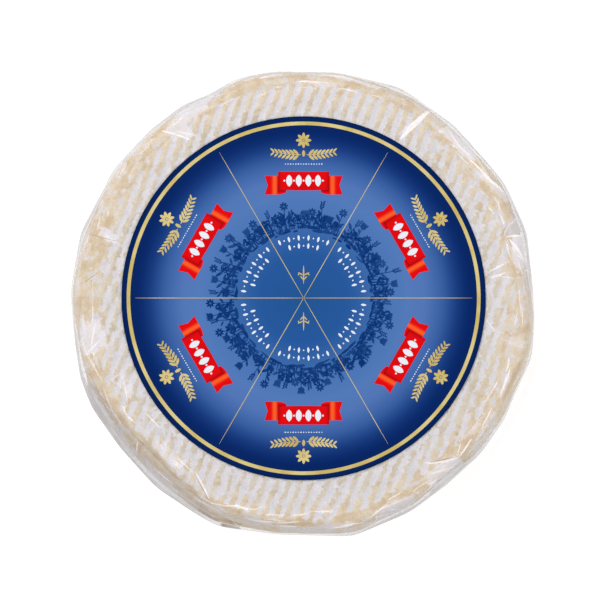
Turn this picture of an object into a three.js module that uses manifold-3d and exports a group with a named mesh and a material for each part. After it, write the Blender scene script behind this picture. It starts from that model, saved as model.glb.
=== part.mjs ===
// A whole wheel of soft white-rinded cheese, drawn tightly into clear film, with a
// round paper label stuck flat on top. Millimetres, +Z up. The origin lies under the
// middle of the wheel's box, on the surface that it rests on, and +Y is the top of
// the label.

import * as THREE from 'three';
import { mergeVertices } from 'three/addons/utils/BufferGeometryUtils.js';
import ManifoldModule from 'manifold-3d';

const wasm = await ManifoldModule();
wasm.setup();

// Wheel: its height, the most it can span, the rounded foot and the rounded top edge
const WHEEL_HEIGHT = 33;
const WHEEL_SPAN = 380;
const FOOT_INSET = 6;
const FOOT_HEIGHT = 7;
const RIM_ROUND = 7;

// Corners of the taut film round the side: direction in degrees, distance from the middle
const FILM_CORNERS = [
  [4, 178], [18, 181.8], [31, 182], [50, 181.6], [66, 184.4], [81, 181.8],
  [97, 182], [107, 182.6], [114, 178.4], [121, 180.8], [132, 179.6], [144, 180.2],
  [162, 181.2], [177, 180.6], [189, 179], [198, 181.6], [206, 182], [218, 179.8],
  [231, 181.6], [242, 181.8], [249, 184], [264, 179], [282, 183.4], [297, 180.6],
  [308, 178.2], [320, 179.2], [331, 179.4], [334, 177.8], [347, 181.4], [356, 179.2],
];

const FILM_SOFTNESS = 1.6;

// Side: how far it leans in from the widest line up to the rim, all round and where
// the soft cheese has slumped outwards, over this many degrees each way
const SIDE_LEAN = 3.5;
const SLUMP_LEAN = 9.5;
const SLUMP_DIRECTION = 229;
const SLUMP_SPREAD = 46;
const SIDE_CURVE = 1.4;
const SIDE_BULGE = 0.9;

// The rim wavers in and out: size of each wave, number of waves round, start in degrees
const RIM_WAVES = [[0.9, 7, 0], [0.6, 16, 40]];

// Grooves left by the draining mat across the top
const GROOVE_PITCH = 8.6;
const GROOVE_WIDTH = 5.2;
const GROOVE_FLOOR = 3.4;
const GROOVE_DEPTH = 1;
const GROOVE_DIRECTION = 68.5;
const GROOVE_SHIFT = -1.5;
const GROOVE_FIELD = 160;
const GROOVE_RIM_GAP = 6;
const GROOVE_END_WAVER = 3;
const GROOVE_END_TURN = 2.4;

// Paper label, set a little above the middle of the wheel
const LABEL_RADIUS = 140;
const LABEL_THICKNESS = 0.4;
const LABEL_SHIFT = new THREE.Vector2(0.2, 3.5);

// Fineness of the faceted surfaces
const COLUMNS = 180;
const FOOT_STEPS = 3;
const SIDE_STEPS = 3;
const RIM_STEPS = 5;
const GROOVE_END_SEGMENTS = 3;
const REACH_STEP = 0.5;
const LABEL_SEGMENTS = 144;

const CHEESE_IN_FILM = new THREE.MeshStandardMaterial({
  name: 'white rind under clear film',
  color: new THREE.Color('#ddd5c8'),
  roughness: 0.4,
  metalness: 0,
});
const BLUE_PAPER = new THREE.MeshStandardMaterial({
  name: 'dark blue coated paper',
  color: new THREE.Color('#17407f'),
  roughness: 0.45,
  metalness: 0,
});

const radians = THREE.MathUtils.degToRad;

// Smallest turn from one direction to another, in degrees
function turnBetween(from, to) {
  return THREE.MathUtils.euclideanModulo(to - from + 180, 360) - 180;
}

// The film runs straight from corner to corner, so its outline is a ring of chords
function chordRadius(direction) {
  const after = FILM_CORNERS.findIndex((corner) => corner[0] > direction);
  const next = FILM_CORNERS[after === -1 ? 0 : after];
  const last = FILM_CORNERS.at((after === -1 ? 0 : after) - 1);
  const past = radians(turnBetween(last[0], direction));
  const left = radians(turnBetween(direction, next[0]));
  const across = last[1] * next[1] * Math.sin(past + left);
  return across / (last[1] * Math.sin(past) + next[1] * Math.sin(left));
}

// Corners in film are soft, so the outline takes the middle of three near readings
function outlineRadius(direction) {
  const near = [-FILM_SOFTNESS, 0, FILM_SOFTNESS].map((turn) => {
    return chordRadius(THREE.MathUtils.euclideanModulo(direction + turn, 360));
  });
  return (near[0] + 2 * near[1] + near[2]) / 4;
}

// Lean of the side, greatest where the wheel has slumped
function sideLean(direction) {
  const turn = Math.abs(turnBetween(SLUMP_DIRECTION, direction)) / SLUMP_SPREAD;
  const slump = turn < 1 ? THREE.MathUtils.smoothstep(1 - turn, 0, 1) : 0;
  const waver = RIM_WAVES.reduce((sum, [size, waves, start]) => {
    return sum + size * Math.sin(radians(waves * direction + start));
  }, 0);
  return SIDE_LEAN + SLUMP_LEAN * slump + waver;
}

// Section of the wheel in one direction, from the edge of the flat base up to the
// edge of the flat top, as pairs of distance from the middle and height
function section(direction) {
  const outer = outlineRadius(direction);
  const lean = sideLean(direction);
  const shoulder = WHEEL_HEIGHT - RIM_ROUND;
  const points = [];
  for (let step = 0; step <= FOOT_STEPS; step += 1) {
    const turn = (step / FOOT_STEPS) * (Math.PI / 2);
    const inset = FOOT_INSET * (1 - Math.sin(turn));
    points.push([outer - inset, FOOT_HEIGHT * (1 - Math.cos(turn))]);
  }
  for (let step = 1; step < SIDE_STEPS; step += 1) {
    const rise = step / SIDE_STEPS;
    const bulge = SIDE_BULGE * Math.sin(Math.PI * rise);
    const height = FOOT_HEIGHT + (shoulder - FOOT_HEIGHT) * rise;
    points.push([outer - lean * rise ** SIDE_CURVE + bulge * rise, height]);
  }
  for (let step = 0; step <= RIM_STEPS; step += 1) {
    const turn = (step / RIM_STEPS) * (Math.PI / 2);
    const inset = RIM_ROUND * (1 - Math.cos(turn));
    points.push([outer - lean - inset, shoulder + RIM_ROUND * Math.sin(turn)]);
  }
  return points;
}

// Body of the wheel: one section every few degrees, closed by flat faces below and above
function wheelBody() {
  const positions = [];
  const triangles = [];
  const rows = section(0).length;
  for (let column = 0; column < COLUMNS; column += 1) {
    const direction = (360 * column) / COLUMNS;
    const turn = radians(direction);
    for (const [distance, height] of section(direction)) {
      positions.push(distance * Math.cos(turn), distance * Math.sin(turn), height);
    }
  }
  const baseMiddle = COLUMNS * rows;
  const topMiddle = baseMiddle + 1;
  positions.push(0, 0, 0, 0, 0, WHEEL_HEIGHT);
  for (let column = 0; column < COLUMNS; column += 1) {
    const here = column * rows;
    const next = ((column + 1) % COLUMNS) * rows;
    for (let row = 0; row < rows - 1; row += 1) {
      triangles.push(here + row, next + row, next + row + 1);
      triangles.push(here + row, next + row + 1, here + row + 1);
    }
    triangles.push(baseMiddle, next, here);
    triangles.push(topMiddle, here + rows - 1, next + rows - 1);
  }
  const geometry = new THREE.BufferGeometry();
  geometry.setAttribute('position', new THREE.Float32BufferAttribute(positions, 3));
  geometry.setIndex(triangles);
  return geometry;
}

// Turns a closed geometry into a solid that can be joined and cut
function toSolid(geometry) {
  const bare = geometry.clone();
  bare.deleteAttribute('normal');
  bare.deleteAttribute('uv');
  const merged = mergeVertices(bare);
  const vertProperties = new Float32Array(merged.attributes.position.array);
  const triVerts = new Uint32Array(merged.index.array);
  return new wasm.Manifold(new wasm.Mesh({ numProp: 3, vertProperties, triVerts }));
}

function toGeometry(solid) {
  const mesh = solid.getMesh();
  const geometry = new THREE.BufferGeometry();
  geometry.setAttribute('position', new THREE.BufferAttribute(mesh.vertProperties, 3));
  geometry.setIndex(new THREE.BufferAttribute(mesh.triVerts, 1));
  const faceted = geometry.toNonIndexed();
  faceted.computeVertexNormals();
  return faceted;
}

// How far a groove lying beside the middle can run before the top starts to round over
function grooveReach(offset, side) {
  let reach = 0;
  const direction = radians(GROOVE_DIRECTION);
  for (let along = 0; along < WHEEL_SPAN / 2; along += REACH_STEP) {
    const x = side * along * Math.cos(direction) - offset * Math.sin(direction);
    const y = side * along * Math.sin(direction) + offset * Math.cos(direction);
    const bearing = THREE.MathUtils.radToDeg(Math.atan2(y, x));
    const around = THREE.MathUtils.euclideanModulo(bearing, 360);
    const flatEdge = outlineRadius(around) - sideLean(around) - RIM_ROUND;
    if (Math.hypot(x, y) < flatEdge - GROOVE_RIM_GAP) {
      reach = along;
    }
  }
  return reach;
}

// One groove as a bar with round ends and sloping flanks, ready to be cut away.
// Its flanks run on above the top, so that the cut is clean.
function grooveBar(offset, number) {
  const half = GROOVE_FLOOR / 2;
  const waver = GROOVE_END_WAVER * Math.sin(GROOVE_END_TURN * number);
  const start = -(grooveReach(offset, -1) - half + waver);
  const end = grooveReach(offset, 1) - half - waver;
  const shape = new THREE.Shape();
  shape.absarc(start, 0, half, Math.PI / 2, 1.5 * Math.PI, false);
  shape.absarc(end, 0, half, -Math.PI / 2, Math.PI / 2, false);
  const bar = new THREE.ExtrudeGeometry(shape, {
    depth: GROOVE_DEPTH,
    curveSegments: GROOVE_END_SEGMENTS,
    bevelSegments: 1,
    bevelThickness: 2 * GROOVE_DEPTH,
    bevelSize: GROOVE_WIDTH - GROOVE_FLOOR,
  });
  bar.translate(0, offset, WHEEL_HEIGHT + GROOVE_DEPTH);
  bar.rotateZ(radians(GROOVE_DIRECTION));
  return bar;
}

// All the grooves of one face, side by side
function grooveBars() {
  const bars = [];
  const widest = Math.floor(GROOVE_FIELD / GROOVE_PITCH);
  for (let number = -widest; number <= widest; number += 1) {
    bars.push(toSolid(grooveBar(number * GROOVE_PITCH + GROOVE_SHIFT, number)));
  }
  return wasm.Manifold.union(bars);
}

const wheelGeometry = toGeometry(toSolid(wheelBody()).subtract(grooveBars()));
const wheel = new THREE.Mesh(wheelGeometry, CHEESE_IN_FILM);
wheel.name = 'wheel';

// Label: a thin flat disc that lies on the crests between the grooves
const labelGeometry = new THREE.CylinderGeometry(
  LABEL_RADIUS, LABEL_RADIUS, LABEL_THICKNESS, LABEL_SEGMENTS,
);
labelGeometry.rotateX(Math.PI / 2);
labelGeometry.translate(0, 0, LABEL_THICKNESS / 2);
const label = new THREE.Mesh(labelGeometry, BLUE_PAPER);
label.name = 'label';
label.position.set(LABEL_SHIFT.x, LABEL_SHIFT.y, WHEEL_HEIGHT);

// The whole is moved so that the middle of the wheel's box stands on the origin
const boxMiddle = new THREE.Box3().setFromObject(wheel).getCenter(new THREE.Vector3());
const pack = new THREE.Group();
pack.add(wheel, label);
pack.position.set(-boxMiddle.x, -boxMiddle.y, 0);

export default pack;
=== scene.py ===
import math

import bmesh
import bpy
import numpy as np
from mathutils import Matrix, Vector
from mathutils.bvhtree import BVHTree


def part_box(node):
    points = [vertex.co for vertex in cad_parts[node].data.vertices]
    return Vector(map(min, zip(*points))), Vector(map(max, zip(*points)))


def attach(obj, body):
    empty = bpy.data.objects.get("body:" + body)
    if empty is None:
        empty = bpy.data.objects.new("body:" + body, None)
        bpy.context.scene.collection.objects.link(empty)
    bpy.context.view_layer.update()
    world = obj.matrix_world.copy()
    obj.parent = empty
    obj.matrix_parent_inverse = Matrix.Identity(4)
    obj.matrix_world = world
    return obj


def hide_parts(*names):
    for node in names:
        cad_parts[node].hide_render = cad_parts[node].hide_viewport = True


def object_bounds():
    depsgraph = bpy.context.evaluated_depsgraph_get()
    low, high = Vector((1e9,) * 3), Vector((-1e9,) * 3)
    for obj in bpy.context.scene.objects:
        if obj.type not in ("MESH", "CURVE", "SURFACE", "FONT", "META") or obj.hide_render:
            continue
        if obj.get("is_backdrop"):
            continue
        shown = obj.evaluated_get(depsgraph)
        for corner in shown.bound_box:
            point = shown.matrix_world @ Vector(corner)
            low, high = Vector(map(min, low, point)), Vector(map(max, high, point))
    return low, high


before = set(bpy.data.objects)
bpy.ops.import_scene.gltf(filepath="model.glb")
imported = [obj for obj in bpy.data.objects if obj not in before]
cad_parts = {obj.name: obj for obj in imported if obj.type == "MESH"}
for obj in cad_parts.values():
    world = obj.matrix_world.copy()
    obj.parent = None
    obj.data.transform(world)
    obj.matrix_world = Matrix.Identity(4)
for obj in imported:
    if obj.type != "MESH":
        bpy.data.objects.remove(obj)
cad_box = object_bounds()

# The cheese: a soft wheel with a bloomy rind. The draining mat pressed grooves across
# its face. White mould fills them, and the crests and the rim are rubbed bare and tan.
# It slumped outwards at the lower left.
MM = 0.001
FOOT_HEIGHT = 7 * MM
RIM_ROUND = 7 * MM
COLUMNS = 1200
FULL_TURN = 2 * math.pi
turns = np.arange(COLUMNS) / COLUMNS
directions = turns * FULL_TURN
circle_x = np.cos(directions)
circle_y = np.sin(directions)

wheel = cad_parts["wheel"]
_, wheel_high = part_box("wheel")
label_low, label_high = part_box("label")
label_middle = (label_low + label_high) / 2
label_radius = (label_high.x - label_low.x) / 2
top_level = wheel_high.z
shoulder_level = top_level - RIM_ROUND
solid = BVHTree.FromPolygons(
    [vertex.co for vertex in wheel.data.vertices],
    [face.vertices for face in wheel.data.polygons],
)


def reach(level):
    """Distance from the axis to the solid in every direction, at one height."""
    found = []
    for turn in directions:
        away = Vector((math.cos(turn), math.sin(turn), 0))
        start = away * (2 * wheel_high.x) + Vector((0, 0, level))
        found.append(solid.ray_cast(start, -away)[0].xy.length)
    return np.array(found)


def even_round(values, degrees):
    """Evens out values that run once round the wheel, over a few degrees."""
    spread = degrees / 360 * COLUMNS
    steps = np.arange(-int(3 * spread), int(3 * spread) + 1)
    weights = np.exp(-0.5 * (steps / spread) ** 2)
    weights /= weights.sum()
    return sum(weight * np.roll(values, step) for weight, step in zip(weights, steps))


def read_round(readings, column=1):
    """A value in every direction, between readings whose first number is in degrees."""
    columns = list(zip(*readings))
    return np.interp(360 * turns, columns[0], columns[column], period=360)


def step_up(low, high, values):
    """0 below low, 1 above high, and a smooth rise between them."""
    share = np.clip((values - low) / (high - low), 0, 1)
    return share * share * (3 - 2 * share)


# Noise is read from a square of seeded numbers, this many along each side
LATTICE = 512


def noise(x, y, seed, around=LATTICE):
    """Smooth noise from -1 to 1 with bumps one unit across, which repeats along x."""
    lattice = np.random.default_rng(seed).uniform(-1, 1, (LATTICE, LATTICE))
    column = np.floor(x).astype(int)
    row = np.floor(y).astype(int)
    right = x - column
    up = y - row
    right = right * right * (3 - 2 * right)
    up = up * up * (3 - 2 * up)
    here = lattice[column % around, row % LATTICE]
    beside = lattice[(column + 1) % around, row % LATTICE]
    above = lattice[column % around, (row + 1) % LATTICE]
    corner = lattice[(column + 1) % around, (row + 1) % LATTICE]
    low = here * (1 - right) + beside * right
    high = above * (1 - right) + corner * right
    return low * (1 - up) + high * up


def patches(x, y, cell, seed):
    """Noise over the face, with bumps one cell across."""
    return noise(x / cell, y / cell, seed)


def streaks(run, lumps, cell, seed):
    """Noise drawn out round the wheel: so many lumps a turn, one cell from row to row."""
    return noise(turns * lumps + 0 * run, run / cell, seed, around=lumps)


# The mat's grooves: their pitch, depth, waver and direction, and how far the mat had
# crept in each direction (degrees and millimetres), seen from the middle of the label
GROOVE_PITCH = 8.6 * MM
GROOVE_DEPTH = 0.9 * MM
GROOVE_WAVER = 0.5 * MM
GROOVE_TURN = math.radians(68.5)
MAT_CREEP = (
    (0, 2), (30, 3.2), (60, 4.6), (75, 5.8), (90, 8), (105, 8), (120, 5.6), (135, 2.6),
    (150, 0.9), (165, 0), (180, 0), (210, 0.9), (240, 1.9), (272, 1.9), (284, -2.5),
    (300, -2), (330, 1.2), (360, 2),
)


def on_mat(x, y):
    """Distances along and across the mat's strands, from the middle of the label."""
    east = x - label_middle.x
    north = y - label_middle.y
    along = east * math.cos(GROOVE_TURN) + north * math.sin(GROOVE_TURN)
    across = north * math.cos(GROOVE_TURN) - east * math.sin(GROOVE_TURN)
    bearing = np.degrees(np.arctan2(north, east)) % 360
    creep = np.interp(bearing, *zip(*MAT_CREEP))
    return along, across - creep * MM


def groove_wave(x, y):
    """A wave across the mat's strands, 0 along a crest and 1 along a groove's floor."""
    _, across = on_mat(x, y)
    waver = patches(x, y, 13 * MM, 1) + patches(x, y, 3.2 * MM, 14)
    return 0.5 - 0.5 * np.cos(FULL_TURN * (across + GROOVE_WAVER * waver) / GROOVE_PITCH)


def groove_share(x, y):
    """How deep a point lies in a groove, from 0 on a crest to 1 on a groove's floor."""
    return step_up(0.12, 0.62, groove_wave(x, y))


# The solid's facets are evened out over this many degrees
FACET_EVENING = 0.7
outer = even_round(reach(FOOT_HEIGHT), FACET_EVENING)
shoulder = even_round(reach(shoulder_level), FACET_EVENING)

# The film runs straight from corner to corner, and stands off the rounder cheese most
# of all at the corners: direction in degrees and gap in millimetres
FILM_STAND = (
    (0, 1.2), (10, 4), (18, 5), (25, 2.5), (33, 2.5), (45, 3.5), (54, 2.5), (58, 1.2),
    (66, 3.4), (72, 1.6), (84, 0.8), (105, 0.8), (112, 2.6), (120, 4), (129, 2.6), (140, 2),
    (150, 2), (160, 3), (168, 2.4), (176, 1.2), (183, 1.2), (190, 4.4), (196, 3.4), (208, 3.4),
    (216, 4), (228, 4.6), (238, 4), (246, 2), (256, 1), (272, 1), (285, 2.4), (292, 4.4),
    (302, 3.4), (309, 6), (317, 2.4), (330, 1.6), (343, 1.4), (350, 2.2), (356, 0.8),
)

# Degrees over which the gap and the cheese's own outline are evened out, the share of
# the gap that is left up at the shoulder, and how far the side leans in at the least
STAND_EVENING = 1.2
CHEESE_EVENING = 3
SHOULDER_STAND = 0.45
SHOULDER_GAP = 0.3 * MM
LEAST_LEAN = 0.6 * MM
CHEESE_TOP_GAP = 0.3 * MM
CHEESE_BASE_GAP = 0.5 * MM
stand = even_round(read_round(FILM_STAND), STAND_EVENING) * MM
cheese_outer = np.minimum(even_round(outer, CHEESE_EVENING), outer) - stand
cheese_shoulder = np.minimum(even_round(shoulder, CHEESE_EVENING), shoulder)
cheese_shoulder = cheese_shoulder - SHOULDER_STAND * stand - SHOULDER_GAP
cheese_shoulder = np.minimum(cheese_shoulder, cheese_outer - LEAST_LEAN)
cheese_top = top_level - CHEESE_TOP_GAP

# The rings of points hidden under the label, as shares of the outermost, how far the
# side bulges, and how its lean is spread from the shoulder to the foot
HIDDEN_RINGS = (0.02, 0.35, 0.7, 0.9, 1)
HIDDEN_INSET = 6 * MM
SIDE_BULGE = 0.9 * MM
SIDE_CURVE = 0.8


def wheel_section(wide, narrow, low, high, counts):
    """Rows of distances and heights, from the middle of the top over the rim and the
    side to the middle of the base. counts gives the rows on the face, the rim, the
    side, the foot and the base."""
    face_rows, rim_rows, side_rows, foot_rows, base_rows = counts
    shoulder_height = high - RIM_ROUND
    hidden = label_radius - HIDDEN_INSET
    flat_edge = narrow - RIM_ROUND
    rows = [(hidden * share, high) for share in HIDDEN_RINGS]
    for share in np.arange(1, face_rows) / face_rows:
        rows.append((hidden + (flat_edge - hidden) * share, high))
    for turn in np.arange(rim_rows) / rim_rows * math.pi / 2:
        far = flat_edge + RIM_ROUND * math.sin(turn)
        rows.append((far, shoulder_height + RIM_ROUND * math.cos(turn)))
    for share in np.arange(side_rows) / side_rows:
        bulge = SIDE_BULGE * math.sin(math.pi * share)
        far = narrow + (wide - narrow) * share ** SIDE_CURVE + bulge
        rows.append((far, shoulder_height + (FOOT_HEIGHT - shoulder_height) * share))
    for turn in np.arange(foot_rows) / foot_rows * math.pi / 2:
        far = wide - FOOT_HEIGHT * (1 - math.cos(turn))
        rows.append((far, low + (FOOT_HEIGHT - low) * (1 - math.sin(turn))))
    for share in 1 - np.arange(base_rows) / base_rows:
        rows.append(((wide - FOOT_HEIGHT) * share, low))
    distances, heights = zip(*rows)
    return (
        np.array([np.broadcast_to(far, COLUMNS) for far in distances]),
        np.array([np.broadcast_to(level, COLUMNS) for level in heights]),
    )


def section_run(distance, height):
    """How far each point of the rows lies from the axis, measured over the surface."""
    outwards = np.diff(distance, axis=0, prepend=0 * distance[:1])
    downwards = np.diff(height, axis=0, prepend=height[:1])
    return np.cumsum(np.hypot(outwards, downwards), axis=0)


def mesh_piece(name, points, faces, smooth):
    """A new object with a mesh made from points and faces."""
    mesh = bpy.data.meshes.new(name)
    mesh.from_pydata(points, [], faces)
    mesh.polygons.foreach_set("use_smooth", [smooth] * len(mesh.polygons))
    mesh.update()
    piece = bpy.data.objects.new(name, mesh)
    bpy.context.scene.collection.objects.link(piece)
    return piece


def round_piece(name, x, y, z):
    """A closed skin from rows of points that run round the wheel, top middle first."""
    rows = len(x)
    points = np.stack([x, y, z], axis=-1).reshape(-1, 3)
    top_point = (x[0].mean(), y[0].mean(), z[0].mean())
    base_point = (x[-1].mean(), y[-1].mean(), z[-1].mean())
    points = np.vstack([points, top_point, base_point])
    column = np.arange(COLUMNS)
    after = (column + 1) % COLUMNS
    quads = []
    for row in range(rows - 1):
        here = row * COLUMNS
        below = here + COLUMNS
        quads.append(np.stack([here + column, below + column, below + after, here + after], -1))
    faces = np.concatenate(quads).tolist()
    last = (rows - 1) * COLUMNS
    faces += [[len(points) - 2, int(k), int(j)] for k, j in zip(column, after)]
    faces += [[len(points) - 1, int(last + j), int(last + k)] for k, j in zip(column, after)]
    return mesh_piece(name, points.tolist(), faces, True)


def paint(piece, name, values):
    """Stores one number for each point of a piece, for its material to read."""
    attribute = piece.data.attributes.new(name, "FLOAT", "POINT")
    attribute.data.foreach_set("value", np.asarray(values, dtype=np.float32))


def paint_rows(piece, name, rows):
    """Paints a round piece row by row."""
    paint(piece, name, np.append(rows.reshape(-1), [rows[0].mean(), rows[-1].mean()]))


def regions(height, top, wall_fade, base_fade):
    """How far each point belongs to the face, to the side and to the base."""
    on_face = step_up(top - 2.5 * MM, top - 0.4 * MM, height)
    on_wall = 1 - step_up(*wall_fade, height)
    on_base = step_up(-1 * MM, base_fade, base_fade - height)
    return on_face, on_wall, on_base


# Rows of points on the face, the rim, the side, the foot and the base
CHEESE_ROWS = (38, 10, 12, 5, 5)
distance, height = wheel_section(
    cheese_outer, cheese_shoulder, CHEESE_BASE_GAP, cheese_top, CHEESE_ROWS
)
place_x = distance * circle_x
place_y = distance * circle_y
run = section_run(distance, height)
on_face, on_wall, on_base = regions(
    height, cheese_top, (shoulder_level - 2 * MM, top_level - 3 * MM), 3 * MM
)

# Where the white stripes end and the tan rim starts, in degrees and millimetres
STRIPE_ENDS = (
    (3, 161), (10, 159), (18, 162), (33, 163), (50, 163.5), (60, 167), (70, 167.5), (82, 170),
    (95, 168), (104, 167), (118, 163), (134, 162), (147, 159), (160, 156), (172, 155),
    (183, 155), (192, 161), (206, 162), (218, 161), (232, 163), (248, 168), (256, 166),
    (266, 168), (280, 166), (300, 163), (315, 161), (335, 162), (350, 157),
)
STRIPE_RAG = 1.2 * MM
STRIPE_FADE = 1.6 * MM
ragged = 2 * patches(place_x, place_y, 8 * MM, 3) + patches(place_x, place_y, 3 * MM, 4)
to_end = read_round(STRIPE_ENDS) * MM - distance + STRIPE_RAG * ragged
striped = step_up(-STRIPE_FADE, STRIPE_FADE, to_end)
hollow = groove_share(place_x, place_y) * striped * on_face

# Hollows in the side that lie in the shade of the film, dented in and given a painted
# brown shade: direction in degrees, height, half length and half height in millimetres,
# and depth as a share of the deepest
HOLLOW_DEPTH = 2.6 * MM
SIDE_HOLLOWS = (
    (252, 12, 15, 7, 1), (243, 16, 9, 4, 0.5), (197, 11, 12, 6, 0.6), (305, 14, 10, 6, 0.5),
)


def degrees_past(bearing):
    """How far every direction lies past a bearing, from -180 to 180 degrees."""
    return (360 * turns - bearing + 180) % 360 - 180


dark = np.zeros_like(distance)
for bearing, middle, long, tall, depth in SIDE_HOLLOWS:
    past = np.radians(degrees_past(bearing)) * distance / (long * MM)
    shape = np.exp(-past ** 2 - ((height - middle * MM) / (tall * MM)) ** 2)
    dark = np.maximum(dark, shape * depth)

# Small lumps of mould on the face, and soft dents along the rim and down the side
LUMP_LIMIT = 0.2 * MM
DENT_DEPTH = 0.4 * MM
WALL_INSET = 0.3 * MM
lumps = 0.16 * MM * patches(place_x, place_y, 2.2 * MM, 5)
lumps = lumps + 0.10 * MM * patches(place_x, place_y, 1.1 * MM, 6)
off_face = 1 - step_up(shoulder_level, top_level - 0.5 * MM, height)
dents = streaks(run, 118, 9 * MM, 7) + 0.5 * streaks(run, 330, 3 * MM, 8)
sink = hollow * GROOVE_DEPTH * (0.85 + 0.3 * patches(place_x, place_y, 9 * MM, 9))
sink = sink - np.minimum(lumps, LUMP_LIMIT) * (1 - off_face)
level = np.clip(height - np.maximum(sink, 0) * on_face, CHEESE_BASE_GAP, cheese_top)
push = (DENT_DEPTH * off_face * dents - WALL_INSET - HOLLOW_DEPTH * dark) * (1 - on_base)
rind = round_piece("rind", (distance + push) * circle_x, (distance + push) * circle_y, level)

# How wide the bare crests are next to the label and next to the rim, against the usual
# share of the pitch, and how broken they are, from 0 clean to 1 crumbled. Each row
# starts with its direction in degrees.
CREST_WEAR = (
    (0, -0.12, 0.08, 0.8), (20, -0.16, 0.05, 0.95), (45, -0.03, 0.1, 0.9), (60, 0.02, 0.12, 0.5),
    (75, 0.04, 0.12, 0.35), (90, 0.04, 0.12, 0.35), (115, 0.02, 0.14, 0.4), (130, -0.04, 0.15, 0.65),
    (150, -0.08, 0.2, 0.85), (165, -0.1, 0.24, 0.95), (180, -0.06, 0.2, 0.95), (200, -0.04, 0.08, 0.85),
    (225, -0.04, 0.02, 1.0), (245, 0, 0.06, 0.75), (270, -0.02, 0.05, 0.55), (290, 0.02, 0.1, 0.65),
    (310, 0.06, 0.16, 0.75), (330, 0.12, 0.2, 0.75), (345, 0.04, 0.2, 0.85),
)
along, across = on_mat(place_x, place_y)
towards_rim = step_up(label_radius + 2 * MM, 162 * MM, distance)
widening = read_round(CREST_WEAR, 1) * (1 - towards_rim) + read_round(CREST_WEAR, 2) * towards_rim
crumbled = read_round(CREST_WEAR, 3)
dashes = noise(along / (5.0 * MM), across / (2.6 * MM), 10)
grains = patches(place_x, place_y, 1.9 * MM, 15)
region = patches(place_x, place_y, 24 * MM, 11)
crest_line = 1 - groove_wave(place_x, place_y) + widening + 0.12 * region
crest_line = crest_line + crumbled * (0.62 * dashes + 0.42 * grains) + 0.14 * grains
worn_crest = step_up(0.48, 0.84, crest_line) * striped * on_face
fine_streaks = streaks(run, 60, 2.2 * MM, 12)
short_streaks = streaks(run, 190, 1.7 * MM, 18)
long_streaks = streaks(run, 26, 5 * MM, 17)
blots = patches(place_x, place_y, 7 * MM, 13)
crumbs = patches(place_x, place_y, 2.6 * MM, 19)
on_rim = (1 - striped * on_face) * (1 - on_wall)
rim_noise = 0.26 * fine_streaks + 0.34 * short_streaks + 0.24 * crumbs + 0.2 * blots
worn_rim = on_rim * np.clip(0.82 + (0.9 + 0.7 * crumbled) * rim_noise, 0.05, 1)
worn_wall = on_wall * (1 - on_base) * np.clip(0.6 + 0.25 * long_streaks + 0.3 * blots, 0.05, 1)
paint_rows(rind, "worn", np.clip(worn_crest + worn_rim + worn_wall, 0, 1))
paint_rows(rind, "under", on_base)
streaked = 0.3 * fine_streaks * (1 - on_base)
deep_tan = 0.42 + 0.4 * blots + streaked + 0.25 * crumbs - 0.16 * striped * on_face
# The side's tan is painted paler, as painted light that offsets the shade on the leaning wall.
deep_tan = deep_tan - 0.4 * on_wall
# The hollows add a painted brown shade past the tan's own depth.
paint_rows(rind, "deep", np.clip(np.clip(deep_tan, 0, 1) + 1.1 * dark, 0, 1.8))
paint_rows(rind, "ruddy", towards_rim)


def srgb(red, green, blue):
    """A colour given as 0 to 255 in the photograph's scale, as the linear one used here."""
    parts = np.array([red, green, blue]) / 255
    linear = np.where(parts <= 0.04045, parts / 12.92, ((parts + 0.055) / 1.055) ** 2.4)
    return (*(float(part) for part in linear), 1)


def fill(tree, node, values):
    """Gives a node's inputs their values: numbers, colours or other nodes' sockets."""
    for socket, value in values.items():
        if isinstance(value, bpy.types.NodeSocket):
            tree.links.new(value, node.inputs[socket])
        else:
            node.inputs[socket].default_value = value


def add_node(tree, kind, values=None, **settings):
    """Adds a node with its settings and the values of its inputs."""
    made = tree.nodes.new(kind)
    for name, setting in settings.items():
        setattr(made, name, setting)
    fill(tree, made, values or {})
    return made


def work_out(tree, operation, first, second, third=0.0):
    """One step of arithmetic between sockets or numbers."""
    made = add_node(tree, "ShaderNodeMath", {0: first, 1: second, 2: third}, operation=operation)
    return made.outputs[0]


def add_parts(tree, start, *parts):
    """A number or socket plus others, each of them times its own amount."""
    for value, amount in parts:
        start = work_out(tree, "MULTIPLY_ADD", value, amount, start)
    return start


def rise(tree, value, low, high):
    """A socket's value turned into a smooth 0 to 1 between low and high."""
    ends = {0: value, 1: low, 2: high}
    return add_node(tree, "ShaderNodeMapRange", ends, interpolation_type="SMOOTHSTEP").outputs[0]


def blend_colours(tree, amount, first, second, blend="MIX"):
    """A mix of two colours or colour sockets."""
    parts = {0: amount, 6: first, 7: second}
    return add_node(tree, "ShaderNodeMix", parts, data_type="RGBA", blend_type=blend).outputs[2]


def place_on(tree):
    """Where a point lies on the part, in metres."""
    return tree.nodes.new("ShaderNodeTexCoord").outputs["Object"]


def painted(tree, name):
    """Reads a number that was painted on the piece."""
    return add_node(tree, "ShaderNodeAttribute", attribute_name=name).outputs["Fac"]


def new_material(name):
    """An empty node material, and its Principled BSDF."""
    material = bpy.data.materials.new(name)
    material.use_nodes = True
    tree = material.node_tree
    tree.nodes.clear()
    output = tree.nodes.new("ShaderNodeOutputMaterial")
    shader = tree.nodes.new("ShaderNodeBsdfPrincipled")
    tree.links.new(shader.outputs[0], output.inputs["Surface"])
    return material, tree, shader


def new_group(name, inputs, outputs):
    """An empty node group with named sockets, each given as name, kind and value."""
    tree = bpy.data.node_groups.new(name, "ShaderNodeTree")
    for socket, kind, value in inputs:
        made = tree.interface.new_socket(socket, in_out="INPUT", socket_type=kind)
        made.default_value = value
    for socket, kind in outputs:
        tree.interface.new_socket(socket, in_out="OUTPUT", socket_type=kind)
    return tree, tree.nodes.new("NodeGroupInput"), tree.nodes.new("NodeGroupOutput")


def use_group(tree, group, values):
    """Places a node group in a material with its own values."""
    return add_node(tree, "ShaderNodeGroup", values, node_tree=group)


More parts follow.
